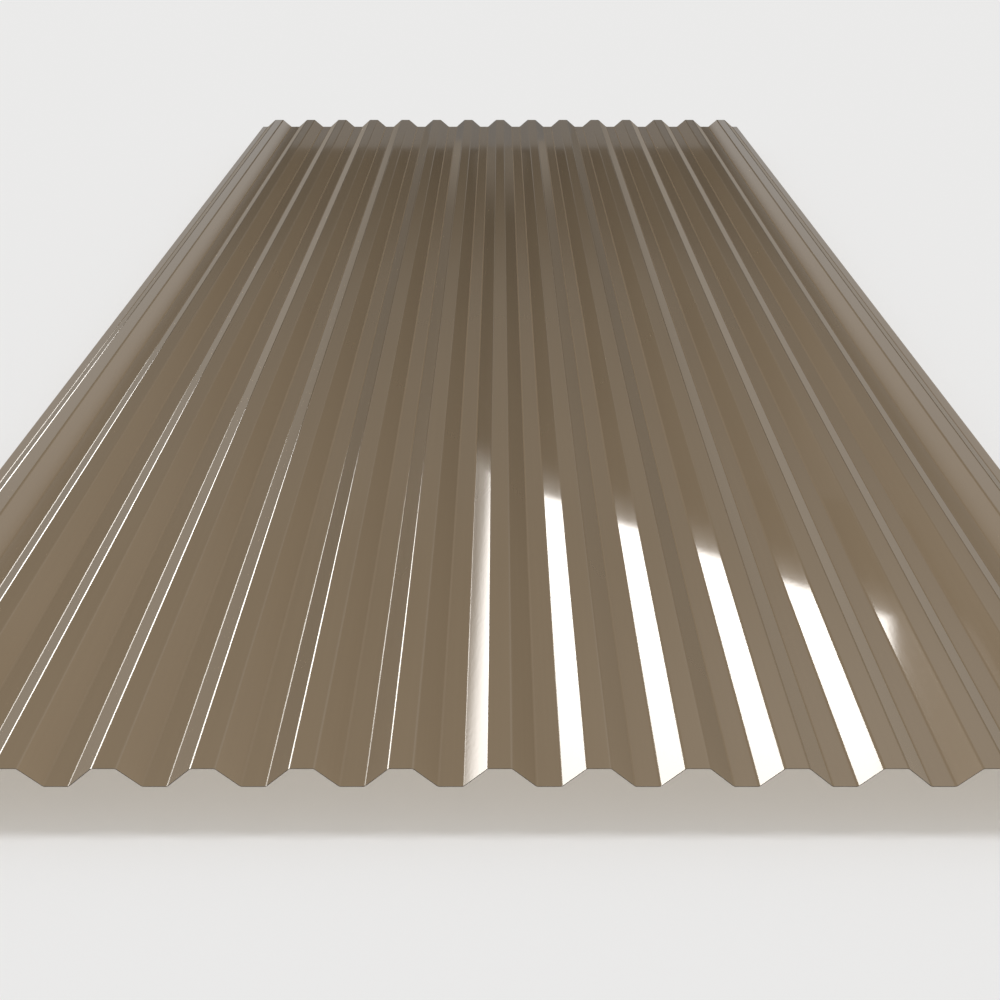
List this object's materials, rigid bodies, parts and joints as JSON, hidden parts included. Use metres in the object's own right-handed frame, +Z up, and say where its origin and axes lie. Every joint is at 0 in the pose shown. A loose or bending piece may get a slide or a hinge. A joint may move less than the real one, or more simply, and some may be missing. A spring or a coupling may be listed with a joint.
{
  "type": "corrugated metal sheet",
  "caption": "Roll-formed steel sheet with flat-topped ribs along its length, square-cut ends, flat lips on both long edges and a glossy brown coat, for roofs, walls and fences.",
  "frame": {"origin": "under the middle of the sheet, level with the undersides of its valleys", "axes": "+X across the ribs, +Y along them, +Z up out of the rib tops"},
  "size_m": [1.054, 2.55, 0.0155],
  "materials": {
    "brown_coated_steel": "gloss"
  },
  "bodies": {
    "root": {"corrugated_sheet": "brown_coated_steel"}
  },
  "joints": []
}
